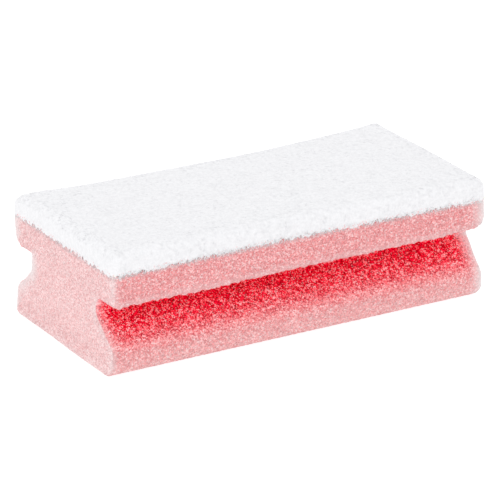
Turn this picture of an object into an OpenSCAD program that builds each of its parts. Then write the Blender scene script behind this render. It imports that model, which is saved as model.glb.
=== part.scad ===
// Hand pad sponge: a foam block with a grip groove along each long side, and a fibre
// scouring pad laminated to its top face by a thin film of adhesive.
// Frame: the origin is the centre of the foam's resting face, +X runs along the block,
// +Y across it and +Z up to the scouring pad.

/* [Block] */
// Length of the block at its foot
block_length = 150; // [110:1:200]
// Width over the pad and over the foam above the grooves
top_width = 71; // [66:0.5:90]
// How much narrower each side is below the groove
foot_setback = 0.8; // [0:0.1:2]
// Height of the foam, from its foot to the adhesive
foam_height = 36.5; // [34:0.5:50]
// How far each end face leans in between the foot and the top
end_lean = 1.5; // [0:0.1:3]
// Radius of the upright corners between the end faces and the long sides
upright_round = 2.5; // [1:0.1:4]
// Radius of the long edges at the foot
foot_round = 4; // [1:0.5:4]

/* [Grip groove] */
// Height of the groove's flat ceiling above the foot
groove_ceiling = 24; // [23:0.5:27]
// Depth of the groove, measured in from the side of the pad
groove_depth = 12.5; // [10:0.5:14]
// Height of the groove's upright back wall, from the ramp to the ceiling
back_wall = 4.7; // [4.5:0.1:6]
// Rise of the ramp that leads from the lower side face up to the back wall
ramp_rise = 9.7; // [8:0.1:10]
// Radius of the groove's lower lip, where the ramp leaves the side face
lower_lip_round = 5; // [1:0.5:5]
// Radius of the groove's upper lip, where the ceiling meets the side face
upper_lip_round = 3; // [1:0.5:4]
// Radius of the groove's two inner corners
inner_round = 2.4; // [0.5:0.1:2.4]

/* [Scouring pad] */
// Thickness of the fibre pad
pad_thickness = 7.2; // [4:0.1:10]
// Radius of the pad's top edges
pad_round = 3; // [0.5:0.1:3.5]

/* [Adhesive] */
// Thickness of the laminating film
film_thickness = 0.3; // [0.2:0.05:0.6]
// How far the film stops short of the block's sides and ends
film_inset = 0.5; // [0:0.1:2]

/* [Hidden] */
$fn = 96;

top_half = top_width / 2;
foot_half = top_half - foot_setback;
groove_half = top_half - groove_depth;
ramp_top = groove_ceiling - back_wall;
ramp_foot = ramp_top - ramp_rise;
pad_foot = foam_height + film_thickness;
total_height = pad_foot + pad_thickness;
lean_angle = atan(end_lean / total_height);

// Outlines are lists of corners, [x, y, radius], in anticlockwise order. A rounded corner
// turns about the centre of its arc, which lies at equal distance from both its edges.
function unit(v) = v / norm(v);
function point(corner) = [corner[0], corner[1]];
function turn(a, b) = a[0] * b[1] - a[1] * b[0];
function arc_centre(corner, back, ahead) =
    corner[2] == 0 ? point(corner)
    : point(corner) + unit(back + ahead) * corner[2] / sin(acos(back * ahead) / 2);

// One corner's arc: [centre, radius, end on the edge before, end on the edge after, side],
// where side is above 0 for an outward corner and below 0 for an inward one.
function corner_arc(before, corner, after) =
    let (back = unit(point(before) - point(corner)),
         ahead = unit(point(after) - point(corner)),
         reach = corner[2] / tan(acos(back * ahead) / 2))
    [arc_centre(corner, back, ahead), corner[2],
     point(corner) + back * reach, point(corner) + ahead * reach, turn(ahead, back)];

// Fills an outline whose rounded corners are true arcs: the straight-sided core passes
// through each arc's centre, outward arcs are added to it and inward arcs are cut away.
module rounded_outline(corners) {
    count = len(corners);
    arcs = [for (i = [0 : count - 1])
        corner_arc(corners[(i + count - 1) % count], corners[i], corners[(i + 1) % count])];
    difference() {
        union() {
            polygon([for (arc = arcs) each arc[1] == 0 ? [arc[0]] : [arc[2], arc[0], arc[3]]]);
            for (arc = arcs)
                if (arc[1] > 0 && arc[4] > 0)
                    translate(arc[0]) circle(r = arc[1]);
        }
        for (arc = arcs)
            if (arc[1] > 0 && arc[4] < 0)
                translate(arc[0]) circle(r = arc[1]);
    }
}

// Adds the mirror image of a right-hand half outline that is listed from foot to top.
function both_halves(half) =
    concat(half, [for (i = [len(half) - 1 : -1 : 0]) [-half[i][0], half[i][1], half[i][2]]]);

// Turns a cross-section drawn as [across, up] into a bar along X.
module bar_along_x(length) {
    rotate([90, 0, 90])
        linear_extrude(height = length, center = true)
            children();
}

// A tall prism whose outer end leans in at one end of the block, side -1 or 1, and which
// reaches well past the other end. Its upright corners are rounded.
module leaning_end(side, inset) {
    reach = 1.5 * block_length;
    half = top_half - inset;
    translate([side * (block_length / 2 - inset), 0, 0])
        rotate([0, -side * lean_angle, 0])
            translate([-side * reach / 2, 0, -total_height / 2])
                linear_extrude(height = 2 * total_height)
                    rounded_outline(both_halves([[reach / 2, -half, upright_round],
                                                 [reach / 2, half, upright_round]]));
}

// Keeps the part of its children that lies between the two leaning ends.
module between_ends(inset = 0) {
    intersection() {
        children();
        leaning_end(-1, inset);
        leaning_end(1, inset);
    }
}

module foam_section() {
    rounded_outline(both_halves([
        [foot_half, 0, foot_round],
        [foot_half, ramp_foot, lower_lip_round],
        [groove_half, ramp_top, inner_round],
        [groove_half, groove_ceiling, inner_round],
        [top_half, groove_ceiling, upper_lip_round],
        [top_half, foam_height, 0]
    ]));
}

// The foam body: one contour-cut bar with a groove along each long side.
module foam_block() {
    color("lightcoral")
        between_ends()
            bar_along_x(block_length)
                foam_section();
}

// The laminating film between the foam and the pad.
module adhesive_layer() {
    color("ivory")
        between_ends(film_inset)
            translate([0, 0, foam_height + film_thickness / 2])
                cube([block_length, top_width, film_thickness], center = true);
}

// The bar to cut away along the pad's top edge at the +X end, so that the edge is rounded
// over. It reaches outside the pad on both sides of the edge.
module end_edge_cutter() {
    edge = [block_length / 2 - end_lean, total_height, pad_round];
    arc = corner_arc([block_length / 2, 0], edge, [0, total_height]);
    outward = [for (spot = [arc[2], point(edge), arc[3]]) 2 * spot - arc[0]];
    rotate([90, 0, 0])
        linear_extrude(height = 2 * top_width, center = true)
            difference() {
                polygon([arc[0], arc[2], outward[0], outward[1], outward[2], arc[3]]);
                translate(arc[0]) circle(r = arc[1]);
            }
}

// The fibre pad: a slab with its four top edges rounded over.
module scouring_pad() {
    color("white")
        difference() {
            between_ends()
                bar_along_x(block_length)
                    rounded_outline(both_halves([[top_half, pad_foot, 0],
                                                 [top_half, total_height, pad_round]]));
            end_edge_cutter();
            mirror([1, 0, 0]) end_edge_cutter();
        }
}

foam_block();
adhesive_layer();
scouring_pad();
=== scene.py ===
"""Looks for the hand pad sponge: open-cell foam with two grip grooves, a laminating film and a
white non-woven fibre pad. Lengths inside the mesh code are millimetres; build() turns them into
the frame's metres."""

import math

import bpy
import numpy as np
from mathutils import Matrix, Vector
from mathutils.bvhtree import BVHTree


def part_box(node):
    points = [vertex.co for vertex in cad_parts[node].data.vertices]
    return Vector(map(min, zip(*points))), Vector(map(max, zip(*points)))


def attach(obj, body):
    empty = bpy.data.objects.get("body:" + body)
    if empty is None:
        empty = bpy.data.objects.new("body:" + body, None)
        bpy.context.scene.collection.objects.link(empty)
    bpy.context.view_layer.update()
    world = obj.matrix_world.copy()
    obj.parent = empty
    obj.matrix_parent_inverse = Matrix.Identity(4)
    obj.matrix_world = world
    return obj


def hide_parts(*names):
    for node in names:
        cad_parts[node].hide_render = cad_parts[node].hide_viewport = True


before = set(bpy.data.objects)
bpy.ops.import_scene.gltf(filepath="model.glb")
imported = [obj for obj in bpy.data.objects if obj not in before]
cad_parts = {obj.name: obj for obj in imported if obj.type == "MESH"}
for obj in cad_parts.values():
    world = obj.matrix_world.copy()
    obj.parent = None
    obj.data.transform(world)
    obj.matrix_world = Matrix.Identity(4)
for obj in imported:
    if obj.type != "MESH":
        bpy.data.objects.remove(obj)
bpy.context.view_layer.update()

MM = 0.001
SEED = 20


# ---------------------------------------------------------------- sizes from the frame

def node_box(node):
    """Lowest and highest corner of a CAD node, in millimetres."""
    low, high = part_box(node)
    return np.array(low) / MM, np.array(high) / MM


FOAM_HIGH = node_box("foam_block")[1]
FILM_LOW, FILM_HIGH = node_box("adhesive_layer")
PAD_LOW, PAD_HIGH = node_box("scouring_pad")
HALF_LENGTH = FOAM_HIGH[0]
HALF_WIDTH = FOAM_HIGH[1]
GROOVE_DEPTH = 12.5      # how far the grip groove reaches in from the side
GROOVE_CEILING = 24.0    # height of the groove's upper face
RAMP_FOOT = 9.6          # height at which the groove's ramp leaves the lower side face


# ---------------------------------------------------------------- numbers that repeat each run

def smooth_step(value, low, high):
    """0 below low, 1 above high, with a soft start and end between them."""
    t = np.clip((value - low) / (high - low), 0, 1)
    return t * t * (3 - 2 * t)


def lattice_random(cells, seed):
    """One repeatable random number from 0 to 1 for each whole-number cell."""
    mask = 0xFFFFFFFF
    n = (cells * np.array([73856093, 19349663, 83492791])).sum(-1) + seed * 1274126177
    n = n & mask
    for _ in range(2):
        n = ((n ^ (n >> 16)) * 0x45D9F3B) & mask
    return (n ^ (n >> 16)) / mask


def soft_noise(points, size, seed):
    """Smooth noise from -1 to 1, with lumps about size apart."""
    scaled = points / size
    base = np.floor(scaled).astype(np.int64)
    t = scaled - base
    t = t * t * (3 - 2 * t)
    total = np.zeros(len(points))
    for corner in np.ndindex(2, 2, 2):
        weight = np.where(np.array(corner) == 1, t, 1 - t).prod(axis=1)
        total += weight * lattice_random(base + np.array(corner), seed)
    return 2 * total - 1


def cell_walls(points, size, seed):
    """How far each point is inside its foam cell: 0 on a wall, about 1 at the middle."""
    scaled = points / size
    base = np.floor(scaled).astype(np.int64)
    nearest = np.full(len(points), 9.0)
    second = np.full(len(points), 9.0)
    for step in np.ndindex(3, 3, 3):
        cell = base + np.array(step) - 1
        centre = np.stack([lattice_random(cell, seed + axis) for axis in range(3)], axis=1)
        distance = np.linalg.norm(scaled - cell - centre, axis=1)
        second = np.minimum(second, np.maximum(nearest, distance))
        nearest = np.minimum(nearest, distance)
    return np.clip(second - nearest, 0, 1)


# ---------------------------------------------------------------- the block's relaxed shape

WAIST = 1.9              # how far each long side pulls in at mid-length, at the pad
BACK_SAG = 1.5           # how far the back top edge dips at mid-length
CORNER_PRESS = 1.2       # how far the pad's corner at -X, +Y is pressed down
CORNER_BULGE = 0.5       # and how far that pushes it outward, each way
LIP_WANDER = 0.4         # how far the front groove's upper lip strays up and down
LIP_END_RISE = 0.8       # how much higher it is at the +X end
BACK_LIP_RISE = 1.1      # how much higher the back groove's lower lip is at the -X end
UNEVEN = 0.25            # gentle unevenness of every face
FLAT_FOOT = 4.0          # height up to which the long sides stay straight
CORNER_REACH = 11.0      # how far from its corner the pad is pressed
LIP_FADE = 5.0           # distance from a lip at which its move has faded to a third
LIP_FADE_UP = 4.0        # the same for the back lip, up and down
WAVE_START = -25.0       # where along X the front lip is lowest
WAVE_HALF = 90.0         # distance from there to where it is highest
LIP_END = (50.0, 72.0)   # the stretch of X over which the front lip rises
BACK_LIP = (34.0, 10.0)  # place of the back groove's lower lip, across and up
BACK_LIP_END = (-77.0, -52.0)  # the stretch of X over which its rise fades
SWAY_SIZE = 28.0         # size of the unevenness


def settle(points):
    """Bends drawn points, in millimetres, to the relaxed shape of the real soft block: the
    laminated upper part pulls in between its corners, the back edge dips, one corner of the
    pad is pressed thin, and two of the grooves' lips stray up and down. The foot stays flat
    on its surface."""
    moved = points.copy()
    middle = 1 - np.clip(points[:, 0] / HALF_LENGTH, -1, 1) ** 2
    wide_middle = 1 - np.clip(points[:, 0] / HALF_LENGTH, -1, 1) ** 4
    upper = smooth_step(points[:, 2], FLAT_FOOT, GROOVE_CEILING)
    moved[:, 1] *= 1 - WAIST / HALF_WIDTH * middle * upper
    back = smooth_step(points[:, 1], -0.3 * HALF_WIDTH, HALF_WIDTH)
    moved[:, 2] -= BACK_SAG * wide_middle * back * upper
    corner = np.hypot(points[:, 0] + HALF_LENGTH, points[:, 1] - HALF_WIDTH)
    pressed = 1 - smooth_step(corner, 0, CORNER_REACH)
    moved[:, 2] -= CORNER_PRESS * pressed * smooth_step(points[:, 2], PAD_LOW[2], PAD_HIGH[2])
    bulge = CORNER_BULGE * pressed * smooth_step(points[:, 2], GROOVE_CEILING, PAD_LOW[2])
    moved[:, 0] -= bulge
    moved[:, 1] += bulge
    near_lip = np.exp(-((points[:, 2] - GROOVE_CEILING) / LIP_FADE) ** 2) * (points[:, 1] < 0)
    wave = np.cos((points[:, 0] - WAVE_START) * math.pi / WAVE_HALF)
    moved[:, 2] -= LIP_WANDER * wave * near_lip
    moved[:, 2] += LIP_END_RISE * smooth_step(points[:, 0], *LIP_END) * near_lip
    across_lip = (points[:, 1] - BACK_LIP[0]) / LIP_FADE
    above_lip = (points[:, 2] - BACK_LIP[1]) / LIP_FADE_UP
    near_back_lip = np.exp(-across_lip ** 2 - above_lip ** 2)
    moved[:, 2] += BACK_LIP_RISE * near_back_lip * (1 - smooth_step(points[:, 0], *BACK_LIP_END))
    for axis in range(3):
        sway = soft_noise(points + 100 * axis, SWAY_SIZE, SEED + axis)
        moved[:, axis] += UNEVEN * sway * smooth_step(points[:, 2], 0, 6)
    return moved


def round_over(first, second, radius):
    """Rounds the edge between two faces. Takes each point's depth below the first and the
    second face, and gives its depths once it is pulled onto an arc that touches both."""
    left_1, left_2 = radius - first, radius - second
    reach = np.hypot(left_1, left_2)
    near = (left_1 > 0) & (left_2 > 0) & (reach > radius)
    shrink = np.where(near, radius / np.maximum(reach, 1e-9), 1)
    return radius - left_1 * shrink, radius - left_2 * shrink


# ---------------------------------------------------------------- meshes

FOAM_CREASE = math.radians(62)
PAD_CREASE = math.radians(38)
FIBRE_CREASE = math.radians(62)
CHART_GAP = 2.0          # space between the charts of a UV layer, in their own lengths


def build(name, points, faces):
    """A mesh object from points in millimetres."""
    mesh = bpy.data.meshes.new(name)
    mesh.from_pydata((points * MM).tolist(), [], faces.tolist())
    mesh.update()
    piece = bpy.data.objects.new(name, mesh)
    bpy.context.scene.collection.objects.link(piece)
    return piece


def remeshed(node, name, voxel):
    """A new even-sided mesh of a CAD node, as an object with its modifiers applied."""
    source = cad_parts[node]
    draft = bpy.data.objects.new(name, source.data.copy())
    bpy.context.scene.collection.objects.link(draft)
    remesh = draft.modifiers.new("remesh", "REMESH")
    remesh.mode = "VOXEL"
    remesh.voxel_size = voxel * MM
    graph = bpy.context.evaluated_depsgraph_get()
    draft.data = bpy.data.meshes.new_from_object(draft.evaluated_get(graph))
    draft.modifiers.clear()
    draft.data.materials.clear()
    return draft


def read_vectors(items, field):
    """A mesh collection's vectors as rows."""
    values = np.empty(len(items) * 3, np.float32)
    items.foreach_get(field, values)
    return values.reshape(-1, 3).astype(float)


def vertex_points(piece):
    """A piece's points, in millimetres."""
    return read_vectors(piece.data.vertices, "co") / MM


def vertex_normals(piece):
    """The outward direction at each of a piece's points."""
    return read_vectors(piece.data.vertex_normals, "vector")


def set_points(piece, points):
    """Moves a piece's points, given in millimetres."""
    piece.data.vertices.foreach_set("co", (points * MM).astype(np.float32).ravel())
    piece.data.update()


def store(piece, name, values):
    """Keeps one number a vertex for the material to read."""
    attribute = piece.data.attributes.new(name, "FLOAT", "POINT")
    attribute.data.foreach_set("value", values.astype(np.float32))


def shade_smooth(piece, crease):
    """Smooth shading everywhere but across edges that are sharper than crease."""
    piece.data.polygons.foreach_set("use_smooth", np.ones(len(piece.data.polygons), bool))
    piece.data.set_sharp_from_angle(angle=crease)


def stack_charts(piece, charts):
    """Lays the faces out flat in one UV layer. Each chart is (faces, across, up), with a mask
    over the faces and two lengths for each vertex; the charts go one above another."""
    mesh = piece.data
    corner_vertex = np.empty(len(mesh.loops), np.int32)
    mesh.loops.foreach_get("vertex_index", corner_vertex)
    sides = np.empty(len(mesh.polygons), np.int32)
    mesh.polygons.foreach_get("loop_total", sides)
    corner_face = np.repeat(np.arange(len(sides)), sides)
    uv = np.zeros((len(corner_vertex), 2))
    height = 0.0
    widest = 0.0
    for faces, across, up in charts:
        corners = faces[corner_face]
        u, v = across[corner_vertex[corners]], up[corner_vertex[corners]]
        uv[corners] = np.stack([u - u.min(), v - v.min() + height], axis=1)
        height += np.ptp(v) + CHART_GAP
        widest = max(widest, np.ptp(u))
    uv /= np.array([widest + CHART_GAP, height])
    layer = mesh.uv_layers.new(name="OFBake")
    layer.data.foreach_set("uv", uv.astype(np.float32).ravel())


def face_middles(piece):
    """The middle of each of a piece's faces, in millimetres."""
    return read_vectors(piece.data.polygons, "center") / MM


def face_normals(piece):
    """The outward direction of each of a piece's faces."""
    return read_vectors(piece.data.polygons, "normal")


# ---------------------------------------------------------------- foam block

FOAM_VOXEL = 0.36        # spacing of the foam mesh
PIT_SIZE = 0.85          # the larger foam cells, as modelled pits
PIT_DEPTH = 0.26
FINE_PITS = 0.08         # depth of the unevenness between them
NOTCH_DEPTH = 0.55       # roughness of the groove's upper lip, where the cut tore the cells
NOTCH_STRETCH = np.array([1.0, 0.25, 0.25])
NOTCH_SIZE = 0.9
NOTCH_BAND = (2.0, 5.0)  # distances from the lip between which the notches fade
END_LEAN = 1.5           # how far each end face leans in from the foot to the pad's top
# Radius of each end face's edges: beside the pad, beside the groove's upper lip, beside the
# groove and below it, along the groove's ceiling, and along the foot.
LEFT_FRONT_ROUNDS = np.array([2.6, 2.6, 4.5, 3.6, 1.0])
LEFT_BACK_ROUNDS = np.array([1.2, 4.5, 3.5, 4.0, 1.8])
RIGHT_END_ROUNDS = np.array([1.2, 4.7, 4.3, 4.8, 4.3])
SIDE_CHANGE = (-10.0, 10.0)     # Y over which the left end's rounding changes, front to back
HEIGHT_CHANGE = (10.0, 20.0)    # height over which it changes, from lower to upper
LIP_ROUND_SIDE = (6.5, 3.0)     # how far in from the side the upper lip's radius starts, and is full
LIP_ROUND_TOP = (25.0, 32.0)    # height over which the upper lip's radius ends
NEAR_EDGE_REACH = 4.5    # how far the pale look reaches in from an end's near edges
FAR_EDGE_REACH = 8.0     # and from its far edges, where light passes through the foam
NEAR_PALENESS = 0.35     # how pale the near edges get, as a share of the far ones
TURNED_AWAY = 2.5        # how much shorter both reaches are on the faces that point away
AWAY = np.array([0.51, 0.86])   # the way the camera looks, seen from above
FAR_BAND = (-50.0, -15.0)       # distance that way over which near edges turn to far ones
GROOVE_START = (5.0, 9.0)       # height over which the groove's painted shade comes in
GROOVE_END = (24.2, 26.0)       # and over which it goes out
OPEN_FRONT = 9.0         # how far in from an end the front groove's painted shade is full
OPEN_BACK = 16.0         # and the back groove's
CLIMB_SHARE = 0.2        # share of that painted shade that comes from height alone
LIP_PALE = 0.30          # how much paler the groove's upper lip is painted, as lit from the floor below
SILL_PALE = 0.22         # how much paler the end faces are painted along the foot, by the bright floor
PAD_SHADOW_BAND = (2.3, 0.4)   # distance below the foam's top over which the pad's painted shadow comes in


def section_depth(node, points):
    """How deep each point lies inside the block's cross-section, and the direction out of it.
    Both are measured at mid-length, where no end face is near, and leave out the top face."""
    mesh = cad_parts[node].data
    corners = read_vectors(mesh.vertices, "co") / MM
    faces = [face.vertices[:] for face in mesh.polygons
             if abs(face.normal.x) < 0.3 and face.normal.z < 0.95]
    tree = BVHTree.FromPolygons(corners.tolist(), faces)
    depth = np.zeros(len(points))
    outward = np.zeros((len(points), 3))
    for number, (_, y, z) in enumerate(points):
        _, normal, _, distance = tree.find_nearest((0.0, y, z))
        depth[number] = distance
        outward[number] = normal
    return depth, outward


def round_the_ends(points):
    """Rounds every edge of both end faces, in the groove too. Also gives each point's distance
    from those edges, the same with the faces that point away stretched, and how upright the
    nearest side face is, from 0 to 1."""
    end_depth = HALF_LENGTH - END_LEAN * points[:, 2] / PAD_HIGH[2] - np.abs(points[:, 0])
    near = np.nonzero(end_depth < 2.5 * FAR_EDGE_REACH)[0]
    spots, end_depth = points[near], end_depth[near]
    side_depth, outward = section_depth("foam_block", spots)
    far_side = smooth_step(spots[:, 1:2], *SIDE_CHANGE)
    left = LEFT_FRONT_ROUNDS + (LEFT_BACK_ROUNDS - LEFT_FRONT_ROUNDS) * far_side
    upper, lip, lower, ceiling, foot = np.where(spots[:, :1] < 0, left, RIGHT_END_ROUNDS).T
    height = spots[:, 2]
    radius = lower + (upper - lower) * smooth_step(height, *HEIGHT_CHANGE)
    inward = HALF_WIDTH - np.abs(spots[:, 1])
    by_lip = 1 - smooth_step(inward, LIP_ROUND_SIDE[1], LIP_ROUND_SIDE[0])
    by_lip *= 1 - smooth_step(height, *LIP_ROUND_TOP)
    radius += (lip - radius) * by_lip * (height > HEIGHT_CHANGE[1])
    under = np.where(height < GROOVE_CEILING / 2, foot, ceiling)
    radius += (under - radius) * smooth_step(-outward[:, 2], 0.3, 0.9)
    new_side, new_end = round_over(side_depth, end_depth, radius)
    moved = points.copy()
    moved[near] -= outward * (new_side - side_depth)[:, None]
    moved[near, 0] -= np.sign(spots[:, 0]) * (new_end - end_depth)
    edge_distance = np.full(len(points), 3 * FAR_EDGE_REACH)
    edge_distance[near] = np.maximum(side_depth, end_depth)
    pale_distance = edge_distance.copy()
    pale_distance[near] = np.maximum(side_depth * np.where(spots[:, 0] > 0, TURNED_AWAY, 1),
                                     end_depth * np.where(spots[:, 1] > 0, TURNED_AWAY, 1))
    upright = np.zeros(len(points))
    upright[near] = smooth_step(np.abs(outward[:, 1]), 0.3, 0.8)
    return moved, edge_distance, pale_distance, upright


def paleness(points, pale_distance, upright):
    """How pale the foam looks near its ends, from 0 to 1. Light passes through the edges that
    are far from the viewer, so they are paler than the near ones."""
    far = smooth_step(points[:, :2] @ AWAY, *FAR_BAND)
    reach = NEAR_EDGE_REACH + (FAR_EDGE_REACH - NEAR_EDGE_REACH) * far
    strength = (NEAR_PALENESS + (1 - NEAR_PALENESS) * far) * upright
    return strength * (1 - smooth_step(pale_distance, -0.2 * reach, reach))


def foam_charts(piece, points):
    """Flat layout of the foam: under side, top, two ends, then each grooved side. A grooved
    side is seen slightly from below, so that no part of its groove hides another."""
    normals, middles = face_normals(piece), face_middles(piece)
    left = normals[:, 0] < -0.7
    right = normals[:, 0] > 0.7
    under = (normals[:, 2] < -0.7) & (middles[:, 2] < 3) & ~left & ~right
    top = (middles[:, 2] > FOAM_HIGH[2] - 1) & (normals[:, 2] > 0.7) & ~left & ~right
    side = ~(left | right | under | top)
    x, y, z = points.T
    unrolled = z - 0.4 * (HALF_WIDTH - np.abs(y))
    return [(under, x, y), (top, x, y), (left, y, z), (right, y, z),
            (side & (middles[:, 1] < 0), x, 2 * unrolled),
            (side & (middles[:, 1] >= 0), x, 2 * unrolled)]


def make_foam():
    """The foam block: its cut faces show the open cells as pits with walls between them, and
    its top face, under the film, is nearly smooth. What its material needs to know about each
    point is stored with the mesh."""
    foam = remeshed("foam_block", "foam_block_foam", FOAM_VOXEL)
    drawn = vertex_points(foam)
    normals = vertex_normals(foam)
    stack_charts(foam, foam_charts(foam, drawn))
    across, height = np.abs(drawn[:, 1]), drawn[:, 2]

    depth = np.clip((HALF_WIDTH - across) / GROOVE_DEPTH, 0, 1)
    in_groove = smooth_step(height, *GROOVE_START) * (1 - smooth_step(height, *GROOVE_END))
    climb = np.clip(height / RAMP_FOOT, 0, 1)
    cut_end = smooth_step(np.abs(normals[:, 0]), 0.4, 0.9)
    shaped, edge_distance, pale_distance, upright = round_the_ends(drawn)
    lip_distance = np.hypot(height - GROOVE_CEILING, across - HALF_WIDTH)
    lip = LIP_PALE * (1 - smooth_step(lip_distance, 0.5, 4.5))
    sill = SILL_PALE * cut_end * (1 - smooth_step(height, 0, 4))
    # Painted shade in the groove: full far from its open ends, and a little from height alone.
    open_end = smooth_step(edge_distance, 0, np.where(drawn[:, 1] > 0, OPEN_BACK, OPEN_FRONT))
    recess = depth * in_groove * (0.25 + 0.75 * open_end)
    store(foam, "recess", (CLIMB_SHARE * climb + (1 - CLIMB_SHARE) * recess) * (1 - cut_end))
    store(foam, "cut_end", cut_end)
    pale = paleness(drawn, pale_distance, upright)
    # Painted light that pales the ends' edges, the groove's upper lip and the ends' foot.
    store(foam, "edge", np.maximum(pale, np.maximum(lip, sill)))
    # Painted shadow under the foot of the pad.
    shadow_low, shadow_high = FOAM_HIGH[2] - np.array(PAD_SHADOW_BAND)
    store(foam, "pad_shadow", smooth_step(height, shadow_low, shadow_high))

    inside_cell = cell_walls(drawn, PIT_SIZE, SEED)
    pit = smooth_step(inside_cell, 0.08, 0.5)
    grain = soft_noise(drawn, 0.4, SEED + 5)
    sunk = (PIT_DEPTH * pit - FINE_PITS * grain) * (1 - 0.4 * recess)
    notches = soft_noise(drawn * NOTCH_STRETCH, NOTCH_SIZE, SEED + 6)
    sunk += NOTCH_DEPTH * notches * (1 - smooth_step(lip_distance, *NOTCH_BAND))
    on_top = smooth_step(normals[:, 2], 0.8, 0.95) * smooth_step(height, 30, 34)
    sunk *= 1 - 0.8 * on_top
    set_points(foam, settle(shaped) - normals * sunk[:, None])
    shade_smooth(foam, FOAM_CREASE)
    return foam


# ---------------------------------------------------------------- adhesive film

FILM_STEP = 1.0          # spacing of the film's mesh
FILM_BLOTS = 0.05        # how much its thickness varies


def make_film():
    """The laminating film: a thin slab that follows the foam's top face, thicker in spots."""
    columns = np.arange(FILM_LOW[0], FILM_HIGH[0] + FILM_STEP / 2, FILM_STEP)
    rows = np.arange(FILM_LOW[1], FILM_HIGH[1] + FILM_STEP / 2, FILM_STEP)
    x, y = (a.ravel() for a in np.meshgrid(columns, rows, indexing="ij"))
    flat = np.stack([x, y, np.zeros_like(x)], axis=1)
    blots = FILM_BLOTS * soft_noise(flat, 3, SEED + 8)
    lower = np.stack([x, y, np.full_like(x, FILM_LOW[2])], axis=1)
    upper = np.stack([x, y, FILM_HIGH[2] + blots], axis=1)
    points = settle(np.concatenate([lower, upper]))

    count = len(x)
    index = np.arange(count).reshape(len(columns), len(rows))
    a, b = index[:-1, :-1].ravel(), index[1:, :-1].ravel()
    c, d = index[1:, 1:].ravel(), index[:-1, 1:].ravel()
    rim = np.concatenate([index[:-1, 0], index[-1, :-1], index[:0:-1, -1], index[0, :0:-1]])
    following = np.roll(rim, -1)
    faces = np.concatenate([
        np.stack([a, d, c, b], axis=1),
        np.stack([a, b, c, d], axis=1) + count,
        np.stack([rim, following, following + count, rim + count], axis=1),
    ])
    film = build("adhesive_layer_film", points, faces)
    upward = face_normals(film)[:, 2] > 0.5
    along, over = points[:, 0], points[:, 1]
    stack_charts(film, [(upward, along, over), (~upward, along, over)])
    return film


# ---------------------------------------------------------------- fibre pad

PAD_VOXEL = 0.38         # spacing of the pad mesh
PAD_ROUND = 3.4          # radius of the pad's worn top edges
PAD_CORNER = 3.0         # radius of its upright corners
PAD_INSET = np.array([0.25, 0.0])  # how far the worn pad stops short of its drawn outline
PAD_HALF = PAD_HIGH[:2] - PAD_INSET
HEM = 2.0                # height of the ragged band at the foot of the pad's sides
# How far past the outline a draped sheet reaches when it comes down to the pad's foot.
PAD_REACH = PAD_HIGH[2] - PAD_LOW[2] + PAD_ROUND * (math.pi / 2 - 2)


def pad_charts(piece, points):
    """Flat layout of the pad: top, under side, two ends and two long sides."""
    normals = face_normals(piece)
    top = normals[:, 2] > 0.6
    bottom = normals[:, 2] < -0.6
    ends = ~top & ~bottom & (np.abs(normals[:, 0]) > 0.7)
    sides = ~top & ~bottom & ~ends
    x, y, z = points.T
    return [(top, x, y), (bottom, x, y),
            (ends & (normals[:, 0] < 0), y, z), (ends & (normals[:, 0] > 0), y, z),
            (sides & (normals[:, 1] < 0), x, z), (sides & (normals[:, 1] >= 0), x, z)]


def plan_depth(flat):
    """How far inside the pad's outline, seen from above, each point lies, and the direction
    out of it."""
    core = np.clip(flat, PAD_CORNER - PAD_HALF, PAD_HALF - PAD_CORNER)
    beyond = flat - core
    reach = np.linalg.norm(beyond, axis=1)
    gap = PAD_HALF - np.abs(flat)
    nearest = np.argmin(gap, axis=1)
    straight = np.zeros_like(flat)
    rows = np.arange(len(flat))
    straight[rows, nearest] = np.where(flat[rows, nearest] < 0, -1, 1)
    outward = np.where((reach > 1e-6)[:, None], beyond / np.maximum(reach, 1e-6)[:, None], straight)
    return np.where(reach > 1e-6, PAD_CORNER - reach, gap.min(axis=1)), outward


def make_pad():
    """The body of the fibre pad: a felted slab with worn edges and a ragged foot."""
    pad = remeshed("scouring_pad", "scouring_pad_web", PAD_VOXEL)
    drawn = vertex_points(pad)
    normals = vertex_normals(pad)
    stack_charts(pad, pad_charts(pad, drawn))

    side_depth, outward = plan_depth(drawn[:, :2])
    top_depth = PAD_HIGH[2] - drawn[:, 2]
    new_side, new_top = round_over(np.maximum(side_depth, 0), top_depth, PAD_ROUND)
    shaped = drawn.copy()
    shaped[:, :2] -= outward * (new_side - np.maximum(side_depth, 0))[:, None]
    shaped[:, 2] -= new_top - top_depth

    hem = 1 - smooth_step(drawn[:, 2] - PAD_LOW[2], 0, HEM)
    rim = hem * (1 - smooth_step(side_depth, 0.2, 1.2))
    # The ragged band at the foot, for specks of foam and painted shadow there.
    store(pad, "hem", rim)
    # How near the rim a point is, for the painted light that whitens the web there.
    store(pad, "edge", 1 - smooth_step(side_depth, 0, 7))
    ragged = 0.6 + 0.9 * soft_noise(drawn, 0.9, SEED + 14) + 0.4 * soft_noise(drawn, 2.6, SEED + 15)
    shaped[:, 2] -= rim * ragged
    shaped[:, :2] += outward * (0.12 * rim)[:, None]

    lumps = 0.04 * soft_noise(drawn, 6, SEED + 11)
    tufts = 0.04 * soft_noise(drawn, 1.2, SEED + 12)
    nap = 0.03 * soft_noise(drawn, 0.5, SEED + 13)
    raised = (lumps + tufts + nap) * (1 - smooth_step(-normals[:, 2], 0.3, 0.8))
    set_points(pad, settle(shaped) + normals * raised[:, None])
    shade_smooth(pad, PAD_CREASE)
    return pad


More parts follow.
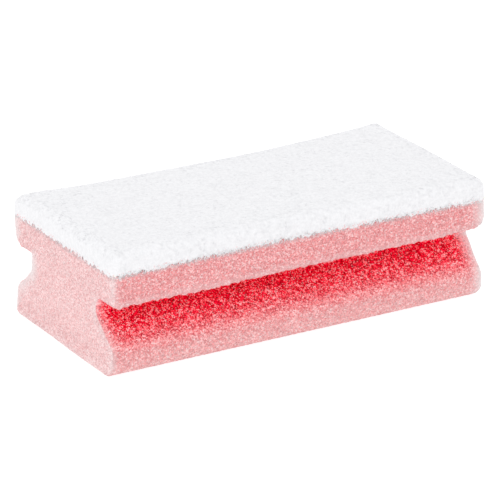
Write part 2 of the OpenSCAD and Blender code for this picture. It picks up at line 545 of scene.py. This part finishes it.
def over_the_pad(flat):
    """Drapes points of a flat sheet over the pad. A sheet point near or past the outline goes
    over the rounded edge and down the side. Gives the points and outward normals."""
    depth, outward = plan_depth(flat)
    past = PAD_ROUND - depth
    angle = np.clip(past / PAD_ROUND, 0, math.pi / 2)
    down = np.maximum(past - PAD_ROUND * math.pi / 2, 0)
    inset = np.where(past > 0, PAD_ROUND * (1 - np.sin(angle)), depth)
    spot = flat + outward * (depth - inset)[:, None]
    height = PAD_HIGH[2] - PAD_ROUND * (1 - np.cos(angle)) - down
    normal = np.column_stack([outward * np.sin(angle)[:, None], np.cos(angle)])
    return np.column_stack([spot, height]), normal


TUBE_SIDES = 3
TUBE_TAPER = 0.6         # a fibre's thickness at its far end, as a share of the near one
ODD_DIRECTION = np.array([0.31, 0.17, 0.93])  # one that hardly any fibre runs along


def tubes(name, paths, radius):
    """Closed three-sided tubes along paths (fibre, ring, 3), all in one mesh."""
    fibres, rings = paths.shape[:2]
    along = np.gradient(paths, axis=1)
    along /= np.maximum(np.linalg.norm(along, axis=2, keepdims=True), 1e-9)
    across = np.cross(along, ODD_DIRECTION)
    across /= np.maximum(np.linalg.norm(across, axis=2, keepdims=True), 1e-9)
    third = np.cross(along, across)
    thickness = radius[:, None] * np.linspace(1, TUBE_TAPER, rings)[None, :]
    turns = 2 * math.pi * np.arange(TUBE_SIDES) / TUBE_SIDES
    around = (across[:, :, None, :] * np.cos(turns)[None, None, :, None]
              + third[:, :, None, :] * np.sin(turns)[None, None, :, None])
    points = paths[:, :, None, :] + around * thickness[:, :, None, None]
    points = points.reshape(-1, 3)

    index = np.arange(len(points)).reshape(fibres, rings, TUBE_SIDES)
    here, ahead = index[:, :-1], index[:, 1:]
    walls = np.stack([here, np.roll(here, -1, axis=2), np.roll(ahead, -1, axis=2), ahead], axis=3)
    walls = walls.reshape(-1, 4)
    caps = np.concatenate([index[:, 0, ::-1], index[:, -1]])
    mesh = bpy.data.meshes.new(name)
    loops = np.concatenate([walls.ravel(), caps.ravel()])
    sizes = np.concatenate([np.full(len(walls), 4), np.full(len(caps), 3)])
    mesh.vertices.add(len(points))
    mesh.vertices.foreach_set("co", (points * MM).astype(np.float32).ravel())
    mesh.loops.add(len(loops))
    mesh.loops.foreach_set("vertex_index", loops.astype(np.int32))
    mesh.polygons.add(len(sizes))
    starts = np.concatenate([[0], np.cumsum(sizes)[:-1]])
    mesh.polygons.foreach_set("loop_start", starts.astype(np.int32))
    mesh.update(calc_edges=True)
    mesh.validate()
    piece = bpy.data.objects.new(name, mesh)
    bpy.context.scene.collection.objects.link(piece)
    shade_smooth(piece, FIBRE_CREASE)

    per_side = math.ceil(math.sqrt(fibres))
    number = index // (rings * TUBE_SIDES)
    ring = (index // TUBE_SIDES) % rings
    side = index % TUBE_SIDES
    u = (number % per_side + 0.1 + 0.8 * ring / (rings - 1)) / per_side
    v = (number // per_side + 0.1 + 0.8 * side / (TUBE_SIDES - 1)) / per_side
    uv = np.stack([u.ravel(), v.ravel()], axis=1)[loops]
    layer = mesh.uv_layers.new(name="OFBake")
    layer.data.foreach_set("uv", uv.astype(np.float32).ravel())
    return piece


CRIMP = 0.5              # how much a fibre turns at each step, in radians
CURL = 0.12              # how much more it turns at every step, the same way each time
WAVE_HEIGHT = 0.08       # how far a fibre waves up and down
WAVE_TURN = 2.3          # radians of that wave in a millimetre of fibre


def wander(random, starts, headings, lengths, rings):
    """Curly paths on a flat sheet: each takes equal steps and turns a little at each one."""
    steps = lengths / (rings - 1)
    kinks = random.normal(0, CRIMP, (len(starts), rings))
    curl = random.normal(0, CURL, (len(starts), 1))
    heading = headings[:, None] + np.cumsum(kinks + curl, axis=1)
    moves = np.stack([np.cos(heading), np.sin(heading)], axis=2) * steps[:, None, None]
    moves[:, 0] = 0
    return starts[:, None, :] + np.cumsum(moves, axis=1)


def lay_fibres(name, random, rings, starts, headings, lengths, lift, loose, radius):
    """Fibres that lie on the pad's skin, raised by lift, with each one's far end standing off
    it by loose more. rings is the number of points along each."""
    flat = wander(random, starts, headings, lengths, rings)
    skin, normal = over_the_pad(flat.reshape(-1, 2))
    rise = np.linspace(0, 1, rings)[None, :] ** 2 * loose[:, None] + lift[:, None]
    travel = np.linspace(0, 1, rings)[None, :] * lengths[:, None]
    wave = WAVE_HEIGHT * np.sin(travel * WAVE_TURN)
    skin = settle(skin) + normal * (rise + wave).reshape(-1, 1)
    return tubes(name, skin.reshape(len(starts), rings, 3), radius)


def rim_points(turn):
    """Points round the pad's outline, from 0 to 1 once round it from the corner at -X, -Y,
    and the outward direction at each."""
    width, depth = 2 * PAD_HALF
    travel = turn * 2 * (width + depth)
    spots = np.zeros((len(travel), 2))
    out = np.zeros((len(travel), 2))
    start = 0.0
    edges = [((-1, -1), (1, 0), width, (0, -1)), ((1, -1), (0, 1), depth, (1, 0)),
             ((1, 1), (-1, 0), width, (0, 1)), ((-1, 1), (0, -1), depth, (-1, 0))]
    for corner, direction, length, outward in edges:
        here = (travel >= start) & (travel < start + length)
        spots[here] = np.array(corner) * PAD_HALF + np.outer(travel[here] - start, direction)
        out[here] = outward
        start += length
    return spots, out


def make_fibres():
    """The loose fibres of the non-woven web: a mat over the top, a denser one round the rim,
    and the short ends that hang over the foam."""
    random = np.random.default_rng(SEED)
    pieces = []

    count = 3000
    starts = random.uniform(-PAD_HALF, PAD_HALF, (count, 2))
    pieces.append(lay_fibres(
        "pad_fibres_top", random, 7, starts,
        headings=random.uniform(0, 2 * math.pi, count),
        lengths=random.uniform(2, 5, count),
        lift=random.uniform(-0.06, 0.0, count),
        loose=random.exponential(0.05, count),
        radius=random.uniform(0.02, 0.04, count)))

    count = 3000
    starts, out = rim_points(random.uniform(0, 1, count))
    starts = starts + out * random.uniform(-5, PAD_REACH, count)[:, None]
    pieces.append(lay_fibres(
        "pad_fibres_rim", random, 7, starts,
        headings=random.uniform(0, 2 * math.pi, count),
        lengths=random.uniform(2, 4, count),
        lift=random.uniform(-0.06, 0.0, count),
        loose=random.exponential(0.06, count),
        radius=random.uniform(0.02, 0.04, count)))

    count = 3200
    starts, out = rim_points(random.uniform(0, 1, count))
    starts = starts + out * (PAD_REACH + random.uniform(-0.6, 0.4, count))[:, None]
    pieces.append(lay_fibres(
        "pad_fibres_fringe", random, 4, starts,
        headings=np.arctan2(out[:, 1], out[:, 0]) + random.normal(0, 0.9, count),
        lengths=random.uniform(0.7, 1.8, count),
        lift=random.uniform(0.0, 0.12, count),
        loose=random.exponential(0.08, count),
        radius=random.uniform(0.04, 0.09, count)))
    return pieces


# ---------------------------------------------------------------- materials

def connect(tree, node, inputs):
    """Feeds a shader node's inputs, each from a value or another node's socket."""
    for key, value in inputs.items():
        if isinstance(value, bpy.types.NodeSocket):
            tree.links.new(value, node.inputs[key])
        else:
            node.inputs[key].default_value = value


def add(tree, kind, inputs=None, **settings):
    """A shader node. inputs maps a socket's name or number to a value or another socket."""
    node = tree.nodes.new("ShaderNode" + kind)
    for key, value in settings.items():
        setattr(node, key, value)
    connect(tree, node, inputs or {})
    return node


def calc(tree, operation, a, b=0.0, clamp=False):
    """One step of arithmetic on two values or sockets."""
    node = add(tree, "Math", {0: a, 1: b}, operation=operation, use_clamp=clamp)
    return node.outputs[0]


def stored(tree, name):
    """A number that store() kept with the mesh."""
    return add(tree, "Attribute", attribute_name=name).outputs["Fac"]


def rescale(tree, value, low, high, to_low=0.0, to_high=1.0):
    """Takes low to high onto to_low to to_high, with a soft start and end, and clamped."""
    node = add(tree, "MapRange", {0: value, 1: low, 2: high, 3: to_low, 4: to_high},
               interpolation_type="SMOOTHSTEP")
    return node.outputs[0]


def colour_mix(tree, factor, a, b, blend="MIX"):
    """Colour a at factor 0 and b at 1, or the two blended in another way."""
    node = add(tree, "Mix", {0: factor, 6: a, 7: b}, data_type="RGBA", blend_type=blend)
    return node.outputs[2]


def colour_ramp(tree, value, stops):
    """stops is a list of (place, colour)."""
    node = add(tree, "ValToRGB", {0: value})
    elements = node.color_ramp.elements
    while len(elements) < len(stops):
        elements.new(1.0)
    for element, (place, colour) in zip(elements, stops):
        element.position = place
        element.color = colour
    return node.outputs[0]


def new_material(name):
    """A material, its node tree and its surface shader."""
    material = bpy.data.materials.new(name)
    material.use_nodes = True
    tree = material.node_tree
    tree.nodes.clear()
    output = add(tree, "OutputMaterial")
    surface = add(tree, "BsdfPrincipled")
    tree.links.new(surface.outputs[0], output.inputs[0])
    return material, tree, surface


CELL = 0.52              # spacing of the bright strut ends and dark pores, in millimetres
GRAIN = 0.36             # the finest variation between them


def foam_material():
    """Red foam whose cut cells scatter light, with light and shade painted into its colour: pink
    and pale outside, painted shade makes it deep red in the groove, and its end faces are
    painted paler, as if lit more. Dark pores and bright strut ends, partly painted shade and
    highlight, lie over the body colour, fewer and stronger deep in the groove. Painted shadow
    darkens the foam under the pad, and painted light makes it almost white at its edges, where
    light passes through it or comes up from the floor."""
    material, tree, surface = new_material("foam")
    place = add(tree, "TexCoord").outputs["Object"]

    # Cells with a random number each, lumps of them, and finer grains with two numbers each.
    cells = add(tree, "TexVoronoi", {"Vector": place, "Scale": 1 / (CELL * MM)})
    chance = add(tree, "SeparateColor", {0: cells.outputs["Color"]}).outputs[0]
    cluster = add(tree, "TexNoise", {"Vector": place, "Scale": 600.0, "Detail": 1.0}).outputs[0]
    dot = rescale(tree, cells.outputs["Distance"], 0.85, 0.40)
    grains = add(tree, "TexVoronoi", {"Vector": place, "Scale": 1 / (GRAIN * MM)})
    _, grain, hue = add(tree, "SeparateColor", {0: grains.outputs["Color"]}).outputs

    # The body colour, with painted shade: redder the deeper the point lies in the groove.
    cloud = add(tree, "TexNoise", {"Vector": place, "Scale": 120.0, "Detail": 3.0}).outputs[0]
    drift = calc(tree, "MULTIPLY", calc(tree, "SUBTRACT", cloud, 0.5), 0.06)
    recess = calc(tree, "ADD", stored(tree, "recess"), drift, clamp=True)
    body = colour_ramp(tree, recess, [
        (0.0, (0.745, 0.40, 0.40, 1)), (0.20, (0.725, 0.297, 0.302, 1)),
        (0.32, (0.87, 0.265, 0.275, 1)), (0.44, (0.95, 0.135, 0.165, 1)),
        (0.56, (1.0, 0.064, 0.100, 1)), (0.66, (1.0, 0.009, 0.049, 1)),
        (0.95, (1.0, 0.002, 0.040, 1))])
    # Painted light: the end faces are paler, as if lit more than the long sides.
    lit_end_colour = (0.762, 0.507, 0.507, 1)
    body = colour_mix(tree, stored(tree, "cut_end"), body, lit_end_colour)

    # In the groove the dark dots gather in some places and the bright ones in others.
    depth = rescale(tree, recess, 0.15, 0.50)
    shift = calc(tree, "MULTIPLY", calc(tree, "SUBTRACT", cluster, 0.54), 1.7)
    chance = calc(tree, "ADD", chance, calc(tree, "MULTIPLY", shift, depth))

    # Dark pores, partly real cells and partly painted shade in them: some of the cells, and flecks
    # where a grain's number is lowest.
    dark = calc(tree, "MULTIPLY", rescale(tree, chance, 0.42, 0.20), dot)
    darkest = rescale(tree, recess, 0.4, 0.9, 0.4, 0.31)
    fleck = calc(tree, "MULTIPLY", rescale(tree, grain, darkest, 0.0),
                 rescale(tree, recess, 0.5, 0.9, 0.75, 1.0))
    dark = calc(tree, "MAXIMUM", dark, fleck)
    deep_tint = colour_mix(tree, fleck, (0.60, 0.01, 0.11, 1), (0.16, 0.01, 0.07, 1))
    pore_shade_tint = colour_mix(tree, depth, (0.83, 0.66, 0.67, 1), deep_tint)
    pore_shade = colour_mix(tree, 1.0, body, pore_shade_tint, "MULTIPLY")

    # Bright strut ends, partly their own paler tone and partly painted highlight: other cells, and
    # sparks where a grain's number is highest.
    glint = calc(tree, "MINIMUM", rescale(tree, recess, 0.1, 0.45, 0.45, 0.66),
                 rescale(tree, recess, 0.55, 0.95, 0.72, 0.47))
    strut_glint = colour_mix(tree, glint, body, (1.0, 0.80, 0.80, 1))
    light = calc(tree, "MULTIPLY", rescale(tree, chance, 0.72, 0.86), dot)
    brightest = rescale(tree, recess, 0.4, 0.9, 0.6, 0.74)
    spark = calc(tree, "MULTIPLY", rescale(tree, grain, brightest, 1.0),
                 rescale(tree, recess, 0.5, 0.9, 0.6, 1.0))
    light = calc(tree, "MAXIMUM", light, spark)
    light = calc(tree, "SUBTRACT", light, calc(tree, "MULTIPLY", fleck, depth), clamp=True)
    colour = colour_mix(tree, dark, body, pore_shade)
    colour = colour_mix(tree, light, colour, strut_glint)

    # Outside the groove each grain is a little greyer or redder than the next.
    tint = colour_mix(tree, hue, (0.87, 1.08, 1.08, 1), (1.13, 0.985, 0.985, 1))
    share = calc(tree, "SUBTRACT", 1.0, depth)
    share = calc(tree, "SUBTRACT", share, calc(tree, "MULTIPLY", stored(tree, "cut_end"), 0.45))
    colour = colour_mix(tree, share, colour, tint, "MULTIPLY")

    # Painted shadow in patches under the foot of the pad, then painted light on the pale edges.
    holes = add(tree, "TexNoise", {"Vector": place, "Scale": 1400.0, "Detail": 1.0}).outputs[0]
    shade = calc(tree, "MULTIPLY", rescale(tree, holes, 0.43, 0.53), stored(tree, "pad_shadow"))
    colour = colour_mix(tree, shade, colour, (0.49, 0.42, 0.43, 1))
    # Painted light: pale at the ends' edges, the groove's upper lip and the ends' foot.
    painted_pale = (0.75, 0.72, 0.72, 1)
    colour = colour_mix(tree, stored(tree, "edge"), colour, painted_pale)

    bump = add(tree, "Bump", {"Strength": 0.45, "Distance": 0.15 * MM,
                              "Height": cells.outputs["Distance"]})
    connect(tree, surface, {
        "Base Color": colour, "Roughness": 0.95, "Specular IOR Level": 0.0,
        "Normal": bump.outputs[0]})
    return material


def film_material():
    """Dried adhesive: a milky film with blots of two tones."""
    material, tree, surface = new_material("adhesive")
    place = add(tree, "TexCoord").outputs["Object"]
    blots = add(tree, "TexNoise", {"Vector": place, "Scale": 350.0, "Detail": 4.0}).outputs[0]
    colour = colour_ramp(tree, blots, [(0.3, (0.80, 0.76, 0.66, 1)), (0.7, (0.92, 0.90, 0.84, 1))])
    rough = rescale(tree, blots, 0.3, 0.7, 0.35, 0.6)
    bump = add(tree, "Bump", {"Strength": 0.3, "Distance": 0.1 * MM, "Height": blots})
    connect(tree, surface, {"Base Color": colour, "Roughness": rough, "Normal": bump.outputs[0]})
    return material


def web_material(name, low, high, ragged=False):
    """White synthetic fibre: two whites mottled together at the size of the fibres, partly their
    own tone and partly painted shade among them. A ragged web is painted a little whiter near
    its rim, as light through its thin edge, and at its foot has specks that are partly pink foam
    showing through it and partly painted shadow under the fibre ends."""
    material, tree, surface = new_material(name)
    place = add(tree, "TexCoord").outputs["Object"]
    fine = add(tree, "TexNoise", {"Vector": place, "Scale": 1500.0, "Detail": 1.0}).outputs[0]
    tuft = add(tree, "TexNoise", {"Vector": place, "Scale": 700.0, "Detail": 1.0}).outputs[0]
    # The mottle: partly the fibres' own tone, partly painted shade among them.
    mottle = calc(tree, "MULTIPLY", calc(tree, "ADD", fine, tuft), 0.5)
    colour = colour_ramp(tree, mottle, [(0.38, low), (0.62, high)])
    if ragged:
        # Painted light: the web is a little whiter near its rim.
        rim = calc(tree, "MULTIPLY", stored(tree, "edge"), 0.12)
        colour = colour_mix(tree, rim, colour, (0.86, 0.86, 0.875, 1))
        # Specks at the foot: partly pink foam showing through, partly painted shadow under the fibre
        # ends.
        holes = add(tree, "TexNoise", {"Vector": place, "Scale": 1400.0, "Detail": 1.0}).outputs[0]
        hem = stored(tree, "hem")
        speck = calc(tree, "MULTIPLY", rescale(tree, holes, 0.57, 0.66), rescale(tree, hem, 0.3, 0.9))
        colour = colour_mix(tree, speck, colour, (0.72, 0.42, 0.43, 1))
    bump = add(tree, "Bump", {"Strength": 0.15, "Distance": 0.15 * MM, "Height": fine})
    connect(tree, surface, {
        "Base Color": colour, "Roughness": 0.9, "Specular IOR Level": 0.2,
        "Normal": bump.outputs[0], "Sheen Weight": 0.1, "Sheen Roughness": 0.5})
    return material


# ---------------------------------------------------------------- stage, light and camera

FLOOR_HALF = 3000.0      # half the floor's side, in millimetres
SKY_STRENGTH = 1.2
LAMP_SIZE = 0.9
LAMP_POWER = 1.18
LAMP_PLACE = Vector((-0.9, -0.8, 0.6))

# The camera's place is in metres, and its angles are measured from the view along +Y.
CAMERA_AZIMUTH = math.radians(-30.9)
CAMERA_ELEVATION = math.radians(21.4)
CAMERA_ROLL = math.radians(0.25)
CAMERA_LENS = 280.7
CAMERA_SENSOR = 36.0
CAMERA_DISTANCE = 1.3477
AIM_HEIGHT = 0.02157
AIM_SHIFT = (-0.00049, -0.00164)  # shift of the aim, across and up in the picture


def make_stage():
    """A pale floor that is evenly lit, a white surround and one large soft light."""
    material, tree, surface = new_material("stage_floor")
    connect(tree, surface, {"Base Color": (0.34, 0.34, 0.34, 1), "Roughness": 1.0,
                            "Specular IOR Level": 0.0,
                            "Emission Color": (1, 1, 1, 1), "Emission Strength": 0.81})
    corners = FLOOR_HALF * np.array([[-1, -1, 0], [1, -1, 0], [1, 1, 0], [-1, 1, 0]])
    floor = build("floor", corners, np.array([[0, 1, 2, 3]]))
    floor.data.materials.append(material)

    world = bpy.data.worlds.new("surround")
    bpy.context.scene.world = world
    world.use_nodes = True
    background = world.node_tree.nodes["Background"]
    background.inputs["Color"].default_value = (1, 1, 1, 1)
    background.inputs["Strength"].default_value = SKY_STRENGTH

    lamp = bpy.data.lights.new("key", "AREA")
    lamp.shape = "DISK"
    lamp.size = LAMP_SIZE
    lamp.energy = LAMP_POWER
    key = bpy.data.objects.new("key", lamp)
    key.location = LAMP_PLACE
    key.rotation_mode = "QUATERNION"
    key.rotation_quaternion = (-LAMP_PLACE).to_track_quat("-Z", "Y")
    bpy.context.scene.collection.objects.link(key)


def make_camera():
    """The product view: from the left end's side, above, through a long lens."""
    right = Vector((math.cos(CAMERA_AZIMUTH), math.sin(CAMERA_AZIMUTH), 0))
    level = math.cos(CAMERA_ELEVATION)
    back = Vector((right.y * level, -right.x * level, math.sin(CAMERA_ELEVATION)))
    up = back.cross(right)
    across = math.cos(CAMERA_ROLL) * right + math.sin(CAMERA_ROLL) * up
    upward = -math.sin(CAMERA_ROLL) * right + math.cos(CAMERA_ROLL) * up
    aim = Vector((0, 0, AIM_HEIGHT)) + AIM_SHIFT[0] * across + AIM_SHIFT[1] * upward

    data = bpy.data.cameras.new("camera")
    data.sensor_width = CAMERA_SENSOR
    data.lens = CAMERA_LENS
    data.clip_start, data.clip_end = 0.05, 20.0
    camera = bpy.data.objects.new("camera", data)
    turned = Matrix((across, upward, back)).transposed().to_4x4()
    camera.matrix_world = Matrix.Translation(aim + back * CAMERA_DISTANCE) @ turned
    bpy.context.scene.collection.objects.link(camera)
    bpy.context.scene.camera = camera


def finish_piece(piece, material, node):
    """Gives a piece its material and hides the CAD node it stands for. Nothing moves, so
    every piece rides the one body."""
    piece.data.materials.append(material)
    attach(piece, "root")
    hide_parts(node)


finish_piece(make_foam(), foam_material(), "foam_block")
finish_piece(make_film(), film_material(), "adhesive_layer")

# The pad's body, its loose fibres and its fringe are three shades of the same white; the fringe's is
# painted lighter, to offset the shade among its dense fibres.
pad_finish = web_material("pad_web", (0.70, 0.70, 0.716, 1), (0.762, 0.762, 0.778, 1), ragged=True)
finish_piece(make_pad(), pad_finish, "scouring_pad")
fibre_finish = web_material("pad_fibre", (0.715, 0.715, 0.731, 1), (0.785, 0.785, 0.801, 1))
fringe_finish = web_material("pad_fringe", (0.80, 0.80, 0.812, 1), (0.87, 0.87, 0.882, 1))
for fibres in make_fibres():
    finish = fringe_finish if fibres.name.endswith("fringe") else fibre_finish
    finish_piece(fibres, finish, "scouring_pad")

make_stage()
make_camera()
bpy.context.scene.view_settings.view_transform = "Standard"
